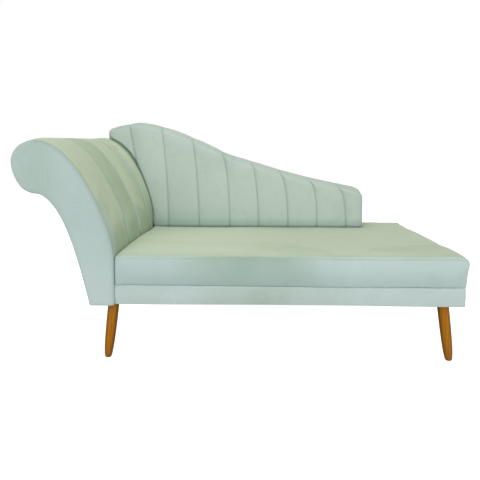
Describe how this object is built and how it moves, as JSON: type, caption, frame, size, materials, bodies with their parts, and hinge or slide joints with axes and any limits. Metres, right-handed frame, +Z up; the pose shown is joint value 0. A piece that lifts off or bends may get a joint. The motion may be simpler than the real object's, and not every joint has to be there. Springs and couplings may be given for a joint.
{
  "type": "recamier",
  "caption": "Chaise longue with a scrolled arm, a backrest that sweeps down along the seat, sewn channels, a padded seat and splayed tapered wooden legs.",
  "frame": {"origin": "on the floor, under the middle of the whole object's box", "axes": "+X from the scrolled arm to the open end, +Y from the front to the rear, +Z up"},
  "size_m": [1.6, 0.676, 0.8789],
  "materials": {
    "velvet": "sage green suede-like velvet with a soft nap",
    "lacquered_wood": "honey-brown clear lacquer, satin to gloss",
    "frame_pine": "sawn softwood",
    "plywood": "raw plywood",
    "board": "raw hardboard",
    "foam": "upholstery foam",
    "webbing": "woven jute strap",
    "deck_cloth": "hessian",
    "dust_cloth": "black nonwoven cloth",
    "steel": "zinc-plated steel"
  },
  "bodies": {
    "root": {"front_rail": "frame_pine", "rear_rail": "frame_pine", "arm_end_rail": "frame_pine", "open_end_rail": "frame_pine", "cross_rails_pair": "frame_pine", "corner_blocks": "frame_pine", "webbing_ledger": "frame_pine", "webbing_long": "webbing", "webbing_cross": "webbing", "deck_cloth": "deck_cloth", "seat_foam": "foam", "seat_cushion": "velvet", "base_border": "velvet", "dust_cover": "dust_cloth", "dust_cover_staples": "steel", "leg_front_left": "lacquered_wood", "leg_front_right": "lacquered_wood", "leg_rear_left": "lacquered_wood", "leg_rear_right": "lacquered_wood", "leg_plates": "steel", "leg_studs": "steel", "plate_screws": "steel", "arm_bottom_rail": "frame_pine", "arm_front_rib": "plywood", "arm_middle_rib": "plywood", "arm_rear_rib": "plywood", "arm_battens": "frame_pine", "arm_inner_board": "board", "arm_outer_board": "board", "arm_foam": "foam", "arm_pad": "velvet", "arm_front_facing": "velvet", "arm_rear_facing": "velvet", "arm_outside_cover": "velvet", "arm_bolts": "steel", "back_bottom_rail": "frame_pine", "back_posts": "frame_pine", "back_top_batten": "frame_pine", "back_wing_panel": "plywood", "back_board": "board", "back_foam": "foam", "back_pad": "velvet", "back_end_boxing": "velvet", "back_rear_cover": "velvet", "back_bolts": "steel"}
  },
  "joints": []
}
